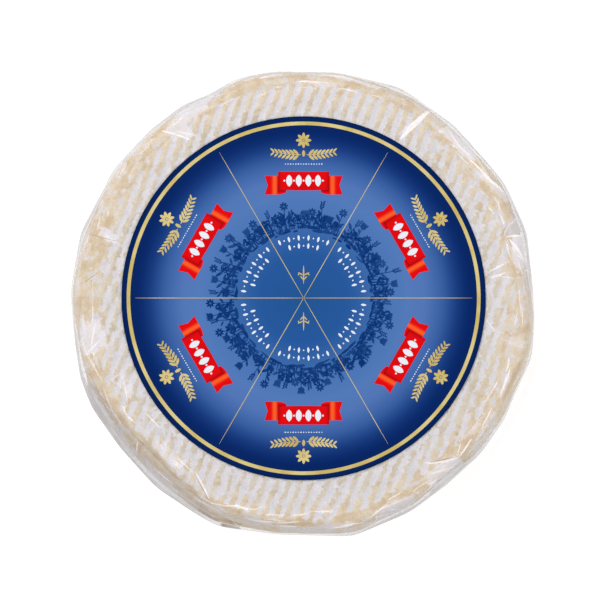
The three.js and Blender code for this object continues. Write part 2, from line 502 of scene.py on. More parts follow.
def finish_piece(piece, material, node):
    """Dresses a piece with its material, fixes it to the root and hides the node it replaces."""
    piece.data.materials.append(material)
    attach(piece, "root")
    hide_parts(node)


# Mottle: soft patches of a given size, as a mask with a chosen coverage and edge
NUMBER = "NodeSocketFloat"
mottle, mottle_in, mottle_out = new_group(
    "Mottle",
    (("Patch Size", NUMBER, 0.004), ("Coverage", NUMBER, 0.5), ("Edge", NUMBER, 0.1),
     ("Detail", NUMBER, 3.0)),
    (("Mask", NUMBER),),
)
mottle_scale = work_out(mottle, "DIVIDE", 1.0, mottle_in.outputs["Patch Size"])
mottle_noise = add_node(
    mottle,
    "ShaderNodeTexNoise",
    {"Vector": place_on(mottle), "Scale": mottle_scale,
     "Detail": mottle_in.outputs["Detail"], "Roughness": 0.55},
)
mottle_cut = work_out(mottle, "SUBTRACT", 1.0, mottle_in.outputs["Coverage"])
mottle_mask = rise(
    mottle,
    mottle_noise.outputs[0],
    work_out(mottle, "SUBTRACT", mottle_cut, mottle_in.outputs["Edge"]),
    work_out(mottle, "ADD", mottle_cut, mottle_in.outputs["Edge"]),
)
mottle.links.new(mottle_mask, mottle_out.inputs["Mask"])

# Rind colours: mould, and worn rind that is duller near the label and ruddier near the
# rim, each with its deeper tone, then the painted brown shade of the hollows, brown specks
# and the mould's fuzz
MOULD = srgb(227, 222, 224)
MOULD_COOL = srgb(216, 214, 220)
WORN_DULL = srgb(215, 205, 190)
DULL_DEEP = srgb(196, 184, 163)
WORN = srgb(227, 212, 189)
WORN_DEEP = srgb(212, 189, 157)
HOLLOW_SHADE = srgb(170, 147, 124)
SPECK = srgb(168, 148, 120)
FUZZ_LIGHT = srgb(246, 245, 244)
rind_material, tree, shader = new_material("rind")
fine = use_group(tree, mottle, {"Patch Size": 0.0016, "Coverage": 0.5, "Edge": 0.22, "Detail": 4.0})
coarse = use_group(tree, mottle, {"Patch Size": 0.008, "Coverage": 0.5, "Edge": 0.2})
rare = use_group(tree, mottle, {"Patch Size": 0.006, "Coverage": 0.36, "Edge": 0.06})
where = place_on(tree)

# The wheel is turned over on the mat, so its underside is striped as well. A wave
# texture of scale 1 runs through 20 radians in one unit.
WAVE_RATE = 20
turned = add_node(tree, "ShaderNodeMapping", {"Vector": where, "Rotation": (0, 0, -GROOVE_TURN)})
mat_wave = add_node(
    tree,
    "ShaderNodeTexWave",
    {"Vector": turned.outputs[0], "Scale": FULL_TURN / WAVE_RATE / GROOVE_PITCH,
     "Distortion": 2.4, "Detail": 3.0, "Detail Scale": 1.5},
    bands_direction="Y",
)
patchy = add_parts(tree, mat_wave.outputs["Fac"], (coarse.outputs[0], 0.3))
worn_under = work_out(tree, "MULTIPLY", rise(tree, patchy, 0.6, 1.2), painted(tree, "under"))
worn = work_out(tree, "MAXIMUM", painted(tree, "worn"), worn_under)
bare = rise(tree, add_parts(tree, -0.2, (worn, 1), (fine.outputs[0], 0.4)), 0.14, 0.78)
white = blend_colours(tree, coarse.outputs[0], MOULD, MOULD_COOL)
deeper = add_parts(tree, -0.2, (painted(tree, "deep"), 1), (fine.outputs[0], 0.4))
deep_mask = rise(tree, deeper, 0.0, 1.0)
near_label = blend_colours(tree, deep_mask, WORN_DULL, DULL_DEEP)
near_rim = blend_colours(tree, deep_mask, WORN, WORN_DEEP)
tan = blend_colours(tree, painted(tree, "ruddy"), near_label, near_rim)
# Where deep runs past 1, the hollows of the side get their painted brown shade.
tan = blend_colours(tree, rise(tree, deeper, 0.95, 1.6), tan, HOLLOW_SHADE)
colour = blend_colours(tree, bare, white, tan)
dots = add_node(tree, "ShaderNodeTexVoronoi", {"Vector": where, "Scale": 330.0})
dot_mask = rise(tree, dots.outputs["Distance"], 0.30, 0.12)
near_crest = work_out(tree, "MULTIPLY", rare.outputs[0], add_parts(tree, 0.1, (worn, 0.5)))
dot_mask = work_out(tree, "MULTIPLY", dot_mask, near_crest)
colour = blend_colours(tree, dot_mask, colour, SPECK)
fuzz = add_node(tree, "ShaderNodeTexNoise", {"Vector": where, "Scale": 900.0, "Detail": 4.0})
fuzzy = rise(tree, fuzz.outputs[0], 0.4, 0.6)
bump = add_node(
    tree,
    "ShaderNodeBump",
    {"Height": fuzz.outputs[0], "Strength": 0.45, "Distance": 0.0005},
)
fill(tree, shader, {
    "Base Color": blend_colours(tree, fuzzy, colour, FUZZ_LIGHT, "MULTIPLY"),
    "Roughness": rise(tree, fine.outputs[0], -0.6, 1.4),
    "Coat Weight": work_out(tree, "MULTIPLY", coarse.outputs[0], 0.3),
    "Coat Roughness": 0.25,
    "Specular IOR Level": 0.3,
    "Normal": bump.outputs[0],
})
finish_piece(rind, rind_material, "wheel")

# The film: one sheet of thin clear wrap drawn over the face and the side, taut between
# soft corners, and gathered in pleats under the base. It sags a little into the grooves
# and stands off the cheese along the rim, where it looks milky. Its milky patches are
# partly a painted glare, its grey is partly a painted shade, and its brown is a painted
# shadow.
FILM_SAG = 0.35 * MM
FILM_TOP_GAP = 0.05 * MM
FILM_SIDE_GAP = 0.25 * MM
FILM_BASE_GAP = 0.02 * MM
FILM_SHOULDER_GAP = 0.2 * MM
FILM_LEAST_LEAN = 0.3 * MM
FILM_ROWS = (30, 9, 12, 5, 12)
FACET_DEPTH = 0.22 * MM
PLEATS = 84
PLEAT_HEIGHT = 0.42 * MM
film_outer = outer - FILM_SIDE_GAP
film_shoulder = np.minimum(shoulder - FILM_SHOULDER_GAP, film_outer - FILM_LEAST_LEAN)
film_top = top_level - FILM_TOP_GAP
distance, height = wheel_section(film_outer, film_shoulder, FILM_BASE_GAP, film_top, FILM_ROWS)
place_x = distance * circle_x
place_y = distance * circle_y
run = section_run(distance, height)
on_face, on_wall, on_base = regions(
    height, film_top, (shoulder_level - 1 * MM, top_level - 1 * MM), 2 * MM
)
to_end = read_round(STRIPE_ENDS) * MM - distance
sag = FILM_SAG * groove_share(place_x, place_y) * step_up(-2 * MM, 2 * MM, to_end) * on_face
facets = 1.5 + streaks(run, 96, 18 * MM, 20) + 0.5 * streaks(run, 180, 10 * MM, 21)
above_foot = step_up(FOOT_HEIGHT, 2 * FOOT_HEIGHT, height)
push = -FACET_DEPTH * on_wall * facets * (0.1 + 0.9 * above_foot) * (1 - on_base)
pleat_turn = PLEATS * (directions + 0.02 * noise(circle_x * 20, circle_y * 20, 22))
pleat_fade = step_up(20 * MM, 60 * MM, distance)
pleats = PLEAT_HEIGHT * on_base * pleat_fade * (0.5 + 0.5 * np.sin(pleat_turn)) ** 2
film_x = (distance + push) * circle_x
film_y = (distance + push) * circle_y
film_z = np.clip(height - sag, 0, None) + pleats
film_run = run
film_distance = distance
film = round_piece("film", film_x, film_y, film_z)


def run_at(bearing, far):
    """Distance over the film from the axis to a spot seen from above, far in metres."""
    column = int(bearing / 360 * COLUMNS) % COLUMNS
    widest = int(np.argmax(film_distance[:, column])) + 1
    return float(np.interp(far, film_distance[:widest, column], film_run[:widest, column]))


# Places where the film looks milky, partly as a painted glare, or grey: direction in
# degrees, distance from the axis, half length round the wheel and half width in
# millimetres, slant in degrees, strength, and how dull and shaded it is, from 0 bright
# white as a painted glare over 1 grey, partly painted shade, to 2 a painted brown shadow
MILKY_AND_GLARE = (
    (77, 175.5, 24, 2.0, 2, 0.85, 0.05), (45.5, 171.8, 18, 4.8, 0, 0.95, 0.15),
    (31, 172.4, 14, 2.8, -14, 0.8, 0.1), (19.3, 171.5, 6, 7.5, 0, 0.95, 0.6),
    (13, 171, 13, 6.0, 8, 1.0, 0), (66, 178, 14, 2.4, 0, 0.7, 0.6),
    (121, 170.5, 26, 6.8, -15, 1.0, 0.15), (124.6, 161, 5, 9, 0, 0.95, 0.1),
    (119, 177, 30, 8, 0, 0.85, 0.45), (98, 176, 9, 1.6, -4, 0.8, 0),
    (144, 173, 7, 1.8, 0, 0.6, 0.1), (155, 177, 20, 7, 0, 0.6, 0.6),
    (134, 171, 6, 1.5, 5, 0.7, 0.1), (141, 166, 9, 1.4, -8, 0.5, 0.1),
    (161, 158, 4, 8, 20, 0.95, 0), (176, 172.5, 7, 1.6, 0, 0.7, 0.1),
    (167, 170, 8, 1.3, 6, 0.5, 0.1), (189.5, 166, 14, 8, 6, 0.9, 0.1),
    (189, 158, 12, 4, -12, 0.8, 0), (266.5, 173, 7, 1.6, 0, 0.7, 0.1),
    (259, 172, 11, 1.7, 5, 0.7, 0.1), (246, 172.5, 9, 1.8, 0, 0.7, 0.1),
    (231, 176.5, 17, 8, 0, 0.95, 0.55), (212, 176.5, 34, 8, 0, 0.95, 0.6),
    (338, 168, 12, 1.8, 0, 0.65, 0.1), (349.4, 166, 3.6, 10, 8, 0.5, 0.2),
    (310, 168.5, 15, 5.5, 6, 0.95, 0.3), (294.5, 175, 15, 6, 0, 0.9, 0.4),
    (279, 174, 14, 1.7, 0, 0.6, 0.1), (322, 163, 13, 1.4, 10, 0.5, 0.1),
    (229, 156, 12, 5, 8, 0.5, 0), (205, 150, 12, 4, 0, 0.5, 0),
    (326, 170, 15, 1.6, -4, 0.6, 0.1), (84, 168, 9, 1.5, -5, 0.5, 0.1),
    (309.5, 176, 17, 9, 0, 0.85, 0.5), (252.6, 181, 8, 4.5, 0, 0.85, 2.0),
    (246, 179.5, 9, 2.5, 6, 0.6, 1.8),
)
hanging = 1 - step_up(19 * MM, 25 * MM, height)
standing = step_up(0.8 * MM, 4.5 * MM, stand) * (1 - on_base) * hanging
haze_and_glare = on_wall * (0.04 + 0.5 * standing + 0.2 * on_base)
# The film on the side is grey, partly haze and partly a painted shade.
dull_and_shade = np.full_like(distance, 0.75) * on_wall * (1 - 0.5 * on_base)
crumple = patches(place_x, place_y, 3.4 * MM, 23) + 0.5 * streaks(run, 300, 1.6 * MM, 24)
for bearing, far, long, wide, slant, strength, greyness in MILKY_AND_GLARE:
    past = np.radians(degrees_past(bearing)) * far
    out = (run - run_at(bearing, far * MM)) / MM
    tilt = math.radians(slant)
    lengthways = (past * math.cos(tilt) + out * math.sin(tilt)) / long
    sideways = (out * math.cos(tilt) - past * math.sin(tilt)) / wide
    shape = np.exp(-lengthways ** 4 - sideways ** 4) + 0.3 * crumple
    shape = step_up(0.34, 0.54, shape) * strength
    dull_and_shade = np.where(shape > haze_and_glare, greyness, dull_and_shade)
    haze_and_glare = np.maximum(haze_and_glare, shape)
clouds = 0.5 + 0.5 * patches(place_x, place_y, 9 * MM, 25)
# Bright streaks round the edge, whiter and less grey: a painted glint.
edge_streaks = np.clip(streaks(run, 70, 2.0 * MM, 26), 0, 1) * on_wall * (1 - on_base)
edge_streaks = edge_streaks * (0.3 + 0.7 * standing)
paint_rows(film, "haze_and_glare", np.clip(haze_and_glare * (0.75 + 0.4 * clouds) + 0.2 * edge_streaks, 0, 1))
paint_rows(film, "slack", on_wall * standing)
paint_rows(film, "dull_and_shade", np.clip(dull_and_shade + 0.25 * (clouds - 0.5) * on_wall - 0.8 * edge_streaks, 0, 2))

# Film colours: bright white, partly a painted glare; grey, partly haze and partly a painted shade; and
# brown, a painted shadow.
FILM_BRIGHT = srgb(230, 228, 234)
FILM_HAZE_AND_SHADE = srgb(194, 189, 188)
FILM_SHADE = srgb(158, 140, 122)
film_material, tree, shader = new_material("film")
haze_and_glare = painted(tree, "haze_and_glare")
cloud = use_group(tree, mottle, {"Patch Size": 0.003, "Coverage": 0.5, "Edge": 0.25})
facing = add_node(tree, "ShaderNodeLayerWeight", {"Blend": 0.35}).outputs["Facing"]
edge_on = rise(tree, facing, 0.3, 0.85)
slack_edge = work_out(tree, "MULTIPLY", edge_on, painted(tree, "slack"))
clouded = work_out(tree, "MULTIPLY", cloud.outputs[0], haze_and_glare)
veil = add_parts(tree, 0.03, (haze_and_glare, 0.7), (clouded, 0.25), (edge_on, 0.34), (slack_edge, 0.5))
# The film greys towards its outline, where it is seen edge-on: a painted shade.
greyness = add_parts(tree, painted(tree, "dull_and_shade"), (slack_edge, 0.3), (edge_on, 0.4))
greyness = add_parts(tree, greyness, (-0.1, 1), (cloud.outputs[0], 0.2))
film_colour = blend_colours(tree, rise(tree, greyness, 0.0, 1.0), FILM_BRIGHT, FILM_HAZE_AND_SHADE)
film_colour = blend_colours(tree, rise(tree, greyness, 1.5, 2.0), film_colour, FILM_SHADE)
fill(tree, shader, {"Base Color": film_colour, "Alpha": veil, "Roughness": 0.2, "IOR": 1.2})
film.visible_shadow = False
finish_piece(film, film_material, "wheel")

# Folds in the film: creases where the taut sheet was gathered round the rim. Each is a
# narrow raised ridge of doubled film, painted white as a highlight or brown as the painted
# shadow of a crease. Its rise and its width at the tips are shares of its width in the
# middle.
FOLD_STEPS = 18
FOLD_RISE = 0.10
FOLD_TIP = 0.08
FOLD_SEAT = 0.05 * MM
OUTLINE_MARGIN = 0.2 * MM
HEIGHT_MARGIN = 0.3 * MM


def film_spot(bearing, run):
    """A point on the film, by direction in degrees and distance over the surface."""
    column = bearing / 360 * COLUMNS
    whole = math.floor(column)
    spots = []
    for side in (whole % COLUMNS, (whole + 1) % COLUMNS):
        line = film_run[:, side]
        spots.append([np.interp(run, line, axis[:, side]) for axis in (film_x, film_y, film_z)])
    share = column - whole
    return np.array(spots[0]) * (1 - share) + np.array(spots[1]) * share


def held_in(spot):
    """Keeps a point inside the pack's own outline and under the label's face."""
    turn = math.atan2(spot[1], spot[0]) % FULL_TURN
    limit = outer[int(turn / FULL_TURN * COLUMNS) % COLUMNS] - OUTLINE_MARGIN
    far = math.hypot(spot[0], spot[1])
    if far > limit:
        spot = spot * np.array([limit / far, limit / far, 1])
    return np.clip(spot, None, [1, 1, top_level + HEIGHT_MARGIN])


def add_bar(pile, rings, values=0.0, joined=False):
    """Adds a closed bar to a pile: rings of points from end to end, capped or joined."""
    rings = np.asarray(rings, dtype=float)
    sections, sides = rings.shape[:2]
    first = len(pile["points"])
    pile["points"].extend(rings.reshape(-1, 3).tolist())
    pile["values"].extend(np.broadcast_to(values, (sections, sides)).reshape(-1).tolist())
    for section in range(sections if joined else sections - 1):
        here = first + section * sides
        there = first + (section + 1) % sections * sides
        for side in range(sides):
            after = (side + 1) % sides
            pile["faces"].append((here + side, here + after, there + after, there + side))
    if not joined:
        last = first + (sections - 1) * sides
        pile["faces"].append(tuple(range(first + sides - 1, first - 1, -1)))
        pile["faces"].append(tuple(range(last, last + sides)))


def new_pile():
    """An empty list of closed shapes that will be joined into one piece."""
    return {"points": [], "faces": [], "values": [], "count": 0}


def pile_piece(name, pile):
    """One piece from a pile of closed shapes, with all their faces turned outwards."""
    piece = mesh_piece(name, pile["points"], pile["faces"], False)
    skin = bmesh.new()
    skin.from_mesh(piece.data)
    bmesh.ops.recalc_face_normals(skin, faces=skin.faces)
    skin.to_mesh(piece.data)
    skin.free()
    return piece


def add_fold(pile, corners, width, dullness_and_shade, bow):
    """Lays a ridge over the film through corners given as direction and distance over
    the surface. It is widest in the middle and narrow at both ends."""
    corners = np.array(corners, dtype=float)
    steps = np.linspace(0, len(corners) - 1, FOLD_STEPS + 1)
    bearings = np.interp(steps, range(len(corners)), corners[:, 0])
    runs = np.interp(steps, range(len(corners)), corners[:, 1])
    shares = np.linspace(0, 1, FOLD_STEPS + 1)
    arc = np.radians(bearings) * runs
    ahead = np.stack([np.gradient(arc), np.gradient(runs)])
    ahead /= np.hypot(*ahead)
    rings = []
    for share, bearing, run, (round_by, out_by) in zip(shares, bearings, runs, ahead.T):
        half = 0.5 * width * (FOLD_TIP + math.sin(math.pi * share) ** 0.7)
        bend = bow * math.sin(math.pi * share)
        edges = []
        for side in (bend - half, bend + half):
            turn = math.degrees(-side * out_by / run)
            edges.append(film_spot(bearing + turn, run + side * round_by))
        middle = (edges[0] + edges[1]) / 2
        here = film_spot(bearing, run)
        sideways = film_spot(bearing + 0.05, run) - here
        downhill = film_spot(bearing, run + 0.2 * MM) - here
        up = np.cross(downhill, sideways)
        up /= np.linalg.norm(up)
        lift = FOLD_RISE * 2 * half
        points = (edges[0], middle + lift * up, edges[1], middle - FOLD_SEAT * up)
        rings.append([held_in(point) for point in points])
    add_bar(pile, rings, dullness_and_shade)


# The folds that stand out: points as direction in degrees and millimetres from the axis
# seen from above, then width in millimetres, dullness and shade, and bow in millimetres.
# This is 0 for a painted white highlight and 1 for a painted brown crease shadow, and
# below 0 the fold is thinner and clearer.
FOLDS = (
    (((56.2, 177.5), (57.6, 162), (58.9, 146)), 5.4, -0.05, 0.6),
    (((57.6, 168), (60.2, 148)), 1.2, 0.1, 0), (((86, 175.5), (78, 176.5), (70.5, 177)), 1.6, 0, 0),
    (((51, 174.5), (45, 170), (39, 171.5)), 1.3, 0.1, 0), (((41, 169), (33, 172), (27, 177)), 1.8, 0, 0),
    (((36, 168.5), (28.5, 175.5)), 1.1, 0.2, 0), (((21.2, 178), (20.6, 170), (18.4, 163)), 1.4, 0.3, 0),
    (((20.5, 166.5), (18.3, 161.5)), 0.9, 0.9, 0), (((16.7, 176), (17.6, 164.5)), 1.8, 0, 0.5),
    (((15, 177), (10, 172.5)), 2.0, 0.05, 0), (((17, 166), (11, 173)), 2.2, 0, 0),
    (((9, 169), (1, 176)), 0.9, 0.2, 0), (((9, 175), (12.5, 168)), 1.5, 0.1, 0),
    (((7.4, 144), (8.3, 158.5)), 1.5, 0.1, 0.5), (((9, 144.5), (11.1, 160)), 1.1, 0.1, 0),
    (((7.6, 150), (6.2, 165)), 0.9, 0.2, 0), (((5.5, 170), (0, 173)), 0.8, 0.2, 0),
    (((162.4, 176), (162.2, 162), (161.8, 150)), 1.0, 0.95, 0.4),
    (((161, 163), (162.8, 145)), 3.0, 0, 0.8), (((175.8, 172), (173.5, 165), (171.2, 157)), 0.7, 0.9, 1),
    (((159.6, 152), (151, 166)), 1.1, 0.1, 0), (((157, 160), (149, 171)), 0.9, 0.2, 0),
    (((124, 160.5), (117, 168), (109.8, 177)), 1.2, 0.5, 0), (((129.5, 171), (124.4, 151)), 1.8, 0, 0),
    (((127, 164), (122.5, 152)), 1.4, 0.1, 0), (((101, 175.5), (94.8, 176.8)), 2.0, 0, 0),
    (((259.5, 158), (257.6, 163), (255, 165), (252, 164.5), (250, 167), (246, 169.5), (242, 169)),
     1.5, 0, 0),
    (((245, 168), (237.6, 154)), 1.3, 0.05, 0.8), (((246.5, 172), (238.6, 157)), 0.8, 0.9, 0.8),
    (((249.5, 174), (241, 172.5)), 1.5, 0.1, 0), (((269, 172.5), (263.5, 173.2)), 1.6, 0.1, 0),
    (((263, 170.5), (255.5, 172.5)), 1.8, 0.1, 0), (((234.6, 172), (228, 171.5)), 2.0, 0.3, 0),
    (((222, 146), (215, 147.5)), 0.9, 0.1, 0), (((210, 155), (203, 149)), 0.9, 0.1, 0),
    (((207, 152), (200, 160)), 0.9, 0.1, 0), (((203, 150), (199, 157)), 0.8, 0.2, 0),
    (((194, 172), (190.5, 157)), 1.3, 0.05, 0), (((190.5, 157), (184.6, 167)), 1.1, 0.1, 0),
    (((192, 166), (186, 160)), 1.3, 0.05, 0), (((195, 168), (188, 174)), 1.1, 0.2, 0),
    (((202, 165), (194, 170)), 1.0, 0.2, 0), (((214, 168), (203, 166.5)), 1.0, 0.3, 0),
    (((348, 177.5), (349, 162), (350.4, 144)), 4.2, 0, 0.8), (((346.9, 177), (348.6, 150)), 1.7, 0.1, 0),
    (((350, 163), (352.2, 148)), 1.1, 0.1, 0), (((354, 143), (350.8, 150)), 1.1, 0.1, 0),
    (((342, 167.5), (334.5, 168)), 1.6, 0.1, 0), (((315.4, 170), (311, 163), (306.6, 154.5)), 1.8, 0.1, 0),
    (((314.3, 166.5), (308, 157)), 1.0, 0.95, 0), (((315, 169.5), (321, 167)), 1.3, 0, 0),
    (((314.8, 168), (318.4, 162.5)), 1.1, 0.1, 0), (((312, 171), (306, 164)), 1.4, 0.2, 0),
    (((307.5, 170.5), (303, 174)), 1.2, 0.2, 0), (((299.5, 171), (290, 169.5)), 1.2, 0.3, 0),
    (((293, 168), (287, 174)), 1.2, 0.1, 0), (((283.5, 175), (275.5, 174.8)), 1.8, 0.05, 0),
    (((325, 168), (331, 166.5)), 1.1, 0.1, 0), (((338, 161.5), (330, 160)), 0.9, 0.2, 0),
)
folds = new_pile()
for corners, width, dullness_and_shade, bow in FOLDS:
    spots = [(bearing, run_at(bearing, far * MM)) for bearing, far in corners]
    add_fold(folds, spots, width * MM, dullness_and_shade, bow * MM)

# Fine wrinkles: short ones along the rim, and longer ones down the side to the foot,
# whose faint white is a painted glint. Each row gives how many, and then the ranges of
# their start past the rim, sweep round the wheel, reach outwards, width, dullness and
# shade, and bow. The sweep is in degrees, and lengths are in millimetres.
WRINKLES = (
    (120, (-9, 9), (2, 7), (-3, 3), (0.6, 1.1), (-0.8, -0.3), (-1, 1)),
    (90, (2, 12), (-5, 5), (9, 22), (0.7, 1.6), (-0.8, -0.2), (-2, 2)),
)
RIM_INSET = 6 * MM
rim_edge = np.interp(range(360), 360 * turns, film_shoulder) - RIM_INSET
rim_run = [run_at(bearing, far) for bearing, far in enumerate(rim_edge)]
draws = np.random.default_rng(40)
for count, *ranges in WRINKLES:
    for _ in range(count):
        bearing = draws.uniform(0, 360)
        past_rim, sweep, reach_out, width, dullness_and_shade, bow = [draws.uniform(*ends) for ends in ranges]
        start = rim_run[int(bearing)] + past_rim * MM
        ends = ((bearing, start), (bearing + sweep, start + reach_out * MM))
        add_fold(folds, ends, width * MM, dullness_and_shade, bow * MM)
film_folds = pile_piece("film_folds", folds)
paint(film_folds, "dull_and_shade", folds["values"])

# Fold colours: white, a painted highlight, and brown, a painted crease shadow.
FOLD_WHITE = srgb(244, 242, 245)
FOLD_DARK = srgb(178, 158, 139)
fold_material, tree, shader = new_material("film_folds")
dull_and_shade = painted(tree, "dull_and_shade")
body = rise(tree, dull_and_shade, -1.0, 0.05)
fill(tree, shader, {
    "Base Color": blend_colours(tree, dull_and_shade, FOLD_WHITE, FOLD_DARK),
    "Alpha": add_parts(tree, 0.07, (body, 0.54)),
    "Roughness": 0.35,
    "IOR": 1.2,
})
film_folds.visible_shadow = False
finish_piece(film_folds, fold_material, "wheel")

# The label: a round of coated paper stuck on the film. Its print runs from a mid blue
# in the middle over a paler ring to navy at the edge.
LABEL_SEGMENTS = 288
PAPER_THICKNESS = 0.3 * MM
EDGE_ROUND = 0.06 * MM
paper_level = label_low.z + PAPER_THICKNESS


def label_ring(radius, level):
    """A ring of points centred on the label."""
    around = np.arange(LABEL_SEGMENTS) / LABEL_SEGMENTS * FULL_TURN
    x = label_middle.x + radius * np.cos(around)
    y = label_middle.y + radius * np.sin(around)
    return np.stack([x, y, np.full_like(x, level)], axis=-1)


sheet = new_pile()
add_bar(sheet, [
    label_ring(label_radius, label_low.z),
    label_ring(label_radius, paper_level - EDGE_ROUND),
    label_ring(label_radius - EDGE_ROUND, paper_level),
])
label_paper = pile_piece("label_paper", sheet)

# Paper grain: a faint tooth in the coating, shared by the paper and everything printed
paper_grain, grain_in, grain_out = new_group(
    "Paper Grain",
    (("Grain Size", NUMBER, 0.0006), ("Base Roughness", NUMBER, 0.4)),
    (("Roughness", NUMBER), ("Height", NUMBER)),
)
grain_noise = add_node(
    paper_grain,
    "ShaderNodeTexNoise",
    {"Vector": place_on(paper_grain),
     "Scale": work_out(paper_grain, "DIVIDE", 1.0, grain_in.outputs["Grain Size"]),
     "Detail": 3.0},
)
grain_rough = add_parts(
    paper_grain, grain_in.outputs["Base Roughness"], (grain_noise.outputs[0], 0.15)
)
paper_grain.links.new(grain_rough, grain_out.inputs["Roughness"])
paper_grain.links.new(grain_noise.outputs[0], grain_out.inputs["Height"])


def finish_ink(tree, shader, roughness):
    """Gives a printed surface the paper's grain."""
    grain = use_group(tree, paper_grain, {"Base Roughness": roughness})
    relief = {"Height": grain.outputs["Height"], "Strength": 0.15, "Distance": 0.0001}
    fill(tree, shader, {
        "Roughness": grain.outputs["Roughness"],
        "Normal": add_node(tree, "ShaderNodeBump", relief).outputs[0],
        "Specular IOR Level": 0.03,
    })


def finish_print(piece, material):
    """Dresses a printed piece, which is too thin to cast a shadow."""
    piece.visible_shadow = False
    finish_piece(piece, material, "label")


# Printed blues, by distance from the middle in millimetres
BLUE_RINGS = (
    (0, (33, 84, 145)), (33, (37, 87, 155)), (40, (43, 92, 160)), (48, (54, 100, 165)),
    (58, (64, 108, 173)), (68, (75, 117, 181)), (80, (82, 121, 184)), (92, (82, 118, 181)),
    (98, (73, 110, 175)), (104, (61, 100, 166)), (108, (53, 91, 157)), (112, (40, 78, 145)),
    (116, (28, 65, 132)), (120, (18, 53, 119)), (124, (10, 44, 109)), (128, (5, 38, 101)),
    (134, (4, 36, 95)), (140, (2, 32, 84)),
)
label_material, tree, shader = new_material("label")
where = place_on(tree)
flat = add_node(tree, "ShaderNodeVectorMath", {0: where, 1: (1, 1, 0)}, operation="MULTIPLY")
from_middle = add_node(
    tree,
    "ShaderNodeVectorMath",
    {0: flat.outputs[0], 1: (label_middle.x, label_middle.y, 0)},
    operation="DISTANCE",
)
share = work_out(tree, "DIVIDE", from_middle.outputs["Value"], label_radius)
ramp = add_node(tree, "ShaderNodeValToRGB", {0: share})
while len(ramp.color_ramp.elements) < len(BLUE_RINGS):
    ramp.color_ramp.elements.new(0.5)
for element, (radius, blue) in zip(ramp.color_ramp.elements, BLUE_RINGS):
    element.position = radius * MM / label_radius
    element.color = srgb(*blue)
fill(tree, shader, {"Base Color": ramp.outputs[0]})
finish_ink(tree, shader, 0.4)
finish_piece(label_paper, label_material, "label")

# Gold print: a ring near the edge, six thin lines that part the label into wedges, a
# rosette over two leafy sprigs in each wedge, and two small spindles near the middle.
# Pale gold ink on the paper, with all its sizes in millimetres.
WEDGES = [math.radians(30 + 60 * number) for number in range(6)]
INK = 0.02 * MM
OVERLAP_LEVELS = 13
OVERLAP_STEP = 1 / 16
RING_INSIDE = 133.2
RING_OUTSIDE = 136.0
LINE_PLACES = (0.4, 20, 112, 129.5)
LINE_WIDTHS = (0.3, 0.52, 0.52, 0.15)
ROSETTE_OUT = 121.5
BUD_OUT = 111.4
SPRIG_OUT = 110.4
STEM_START = 2.4
STEM_LENGTH = 21.6
STEM_RISE = 2.4
STEM_STEPS = 8
LEAF_PAIRS = 7
LEAF_START = 4.2
LEAF_SPREAD = 18.6
LEAF_RISE = 2.2
LEAF_LENGTH = 2.9
LEAF_SHRINK = 0.9
LEAF_LEAN = 42
SPINDLE_OUT = 18.0


def on_label(wedge, across, out, level):
    """A point of the label, in millimetres across and out along a wedge's axis."""
    x = label_middle.x + (out * math.cos(wedge) + across * math.sin(wedge)) * MM
    y = label_middle.y + (out * math.sin(wedge) - across * math.cos(wedge)) * MM
    return (x, y, level)


def add_shape(pile, wedge, outline, layer, value=0.0):
    """Prints one flat shape on a wedge, some layers of ink above the paper. Shapes that
    overlap differ a little in level."""
    pile["count"] += 1
    layer = layer + pile["count"] % OVERLAP_LEVELS * OVERLAP_STEP
    levels = (paper_level - INK, paper_level + layer * INK)
    rings = [[on_label(wedge, across, out, level) for across, out in outline] for level in levels]
    add_bar(pile, rings, value)


def oval(across, out, half_width, half_length, lean=0.0, tips=0.0, count=12):
    """Outline of an oval, or of a leaf where tips is above 0. It leans to the right."""
    around = np.arange(count) / count * FULL_TURN
    wide = half_width * np.sin(around) * np.abs(np.sin(around)) ** tips
    long = half_length * np.cos(around)
    tilt = math.radians(lean)
    return np.stack([
        across + wide * math.cos(tilt) + long * math.sin(tilt),
        out + long * math.cos(tilt) - wide * math.sin(tilt),
    ], axis=-1)


def stroke(points, width, end_width):
    """Outline of a line through points, from one width to another."""
    points = np.array(points, dtype=float)
    ahead = np.gradient(points, axis=0)
    ahead /= np.linalg.norm(ahead, axis=1, keepdims=True)
    aside = np.stack([-ahead[:, 1], ahead[:, 0]], axis=-1)
    half = np.linspace(width, end_width, len(points))[:, None] / 2
    return np.concatenate([points + aside * half, (points - aside * half)[::-1]])


def petals(across, out, ring, half_width, half_length, tips, count=12):
    """Outlines of the eight petals of a flower."""
    outlines = []
    for turn in range(0, 360, 45):
        petal_across = across + ring * math.sin(math.radians(turn))
        petal_out = out + ring * math.cos(math.radians(turn))
        outlines.append(oval(petal_across, petal_out, half_width, half_length, turn, tips, count))
    return outlines


